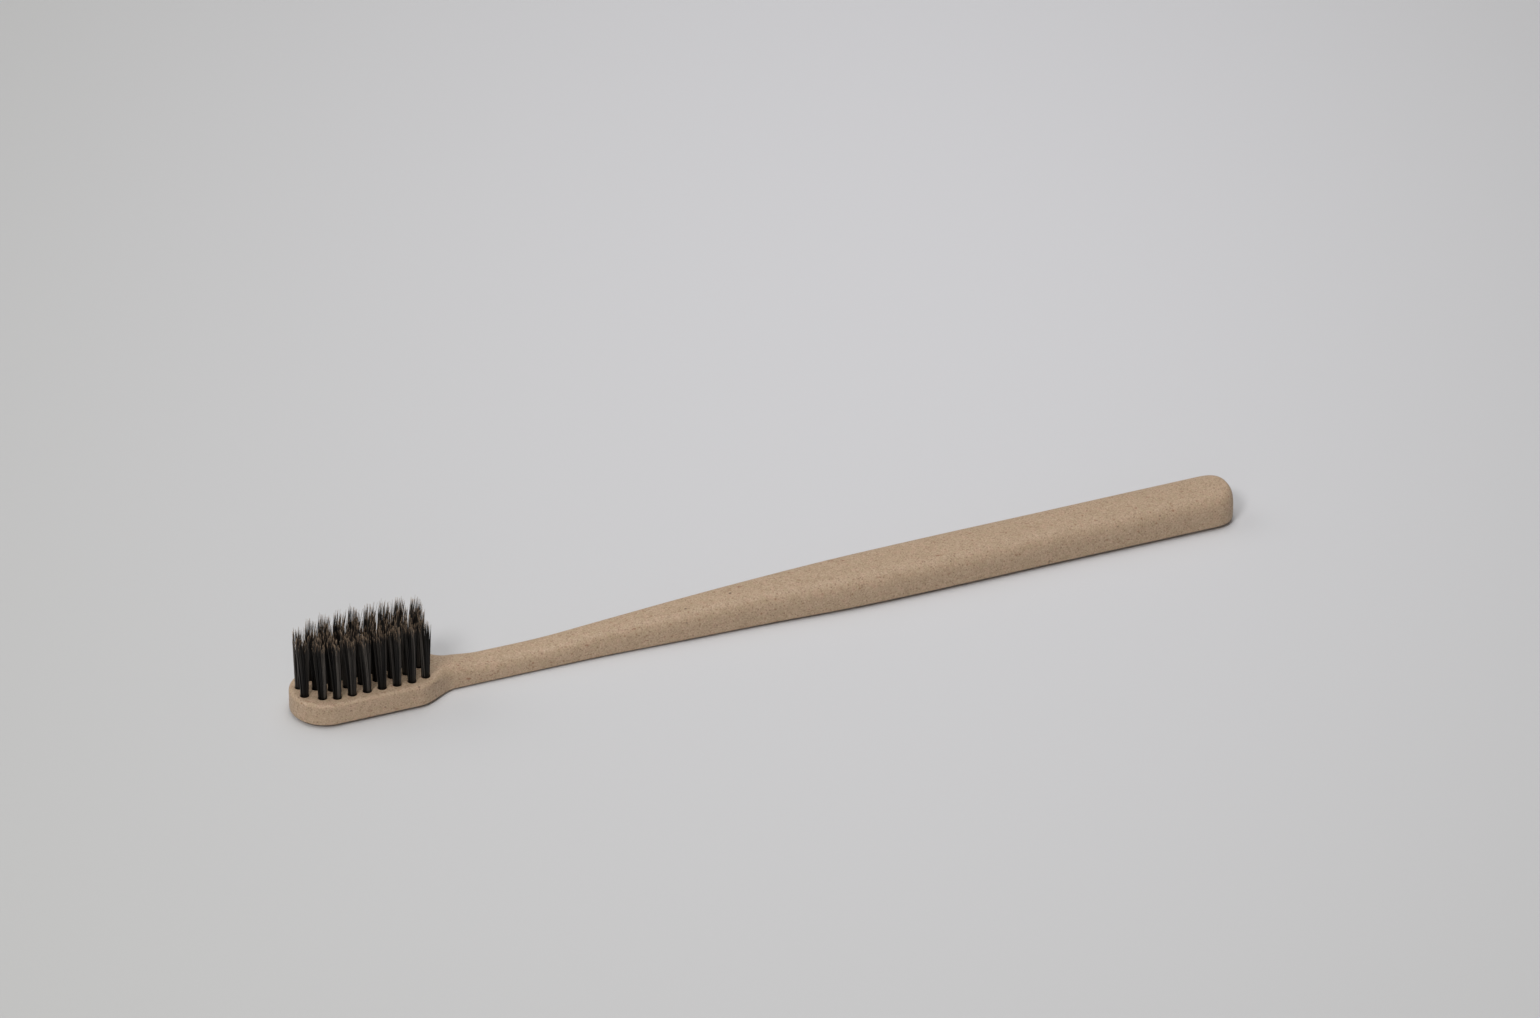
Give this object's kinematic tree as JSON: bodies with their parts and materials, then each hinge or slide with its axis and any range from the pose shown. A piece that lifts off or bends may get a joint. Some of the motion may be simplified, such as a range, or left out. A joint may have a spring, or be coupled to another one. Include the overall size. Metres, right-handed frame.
{
  "type": "toothbrush",
  "caption": "Manual toothbrush lying on its flat back: moulded speckled handle with a rounded head, slim neck and oval grip, and dark flared bristle tufts held by wire anchors.",
  "frame": {"origin": "on the flat back, midway between the tip of the head and the end of the handle, on the brush's middle plane", "axes": "+X along the brush from the head's tip to the handle's end, +Y across it, +Z out of the flat back, the way the bristles point"},
  "size_m": [0.18, 0.0126, 0.0168],
  "materials": {
    "straw_plastic": "beige straw-filled moulded plastic, matt, with fine brown and dark specks",
    "bristle": "charcoal nylon filaments, soft sheen, tips feathered and paler",
    "anchor_wire": "bright drawn flat wire"
  },
  "bodies": {
    "root": {"handle": "straw_plastic", "tuft_01": "bristle", "tuft_02": "bristle", "tuft_03": "bristle", "tuft_04": "bristle", "tuft_05": "bristle", "tuft_06": "bristle", "tuft_07": "bristle", "tuft_08": "bristle", "tuft_09": "bristle", "tuft_10": "bristle", "tuft_11": "bristle", "tuft_12": "bristle", "tuft_13": "bristle", "tuft_14": "bristle", "tuft_15": "bristle", "tuft_16": "bristle", "tuft_17": "bristle", "tuft_18": "bristle", "tuft_19": "bristle", "tuft_20": "bristle", "tuft_21": "bristle", "tuft_22": "bristle", "tuft_23": "bristle", "tuft_24": "bristle", "tuft_25": "bristle", "tuft_26": "bristle", "tuft_27": "bristle", "tuft_28": "bristle", "tuft_29": "bristle", "tuft_30": "bristle", "tuft_31": "bristle", "tuft_32": "bristle", "anchor_06": "anchor_wire", "anchor_07": "anchor_wire", "anchor_08": "anchor_wire", "anchor_09": "anchor_wire", "anchor_10": "anchor_wire", "anchor_11": "anchor_wire", "anchor_12": "anchor_wire", "anchor_13": "anchor_wire", "anchor_14": "anchor_wire", "anchor_15": "anchor_wire", "anchor_16": "anchor_wire", "anchor_17": "anchor_wire", "anchor_18": "anchor_wire", "anchor_19": "anchor_wire", "anchor_20": "anchor_wire", "anchor_21": "anchor_wire", "anchor_22": "anchor_wire", "anchor_23": "anchor_wire", "anchor_24": "anchor_wire", "anchor_25": "anchor_wire", "anchor_26": "anchor_wire", "anchor_27": "anchor_wire", "anchor_28": "anchor_wire", "anchor_29": "anchor_wire", "anchor_30": "anchor_wire", "anchor_31": "anchor_wire", "anchor_32": "anchor_wire"}
  },
  "joints": []
}
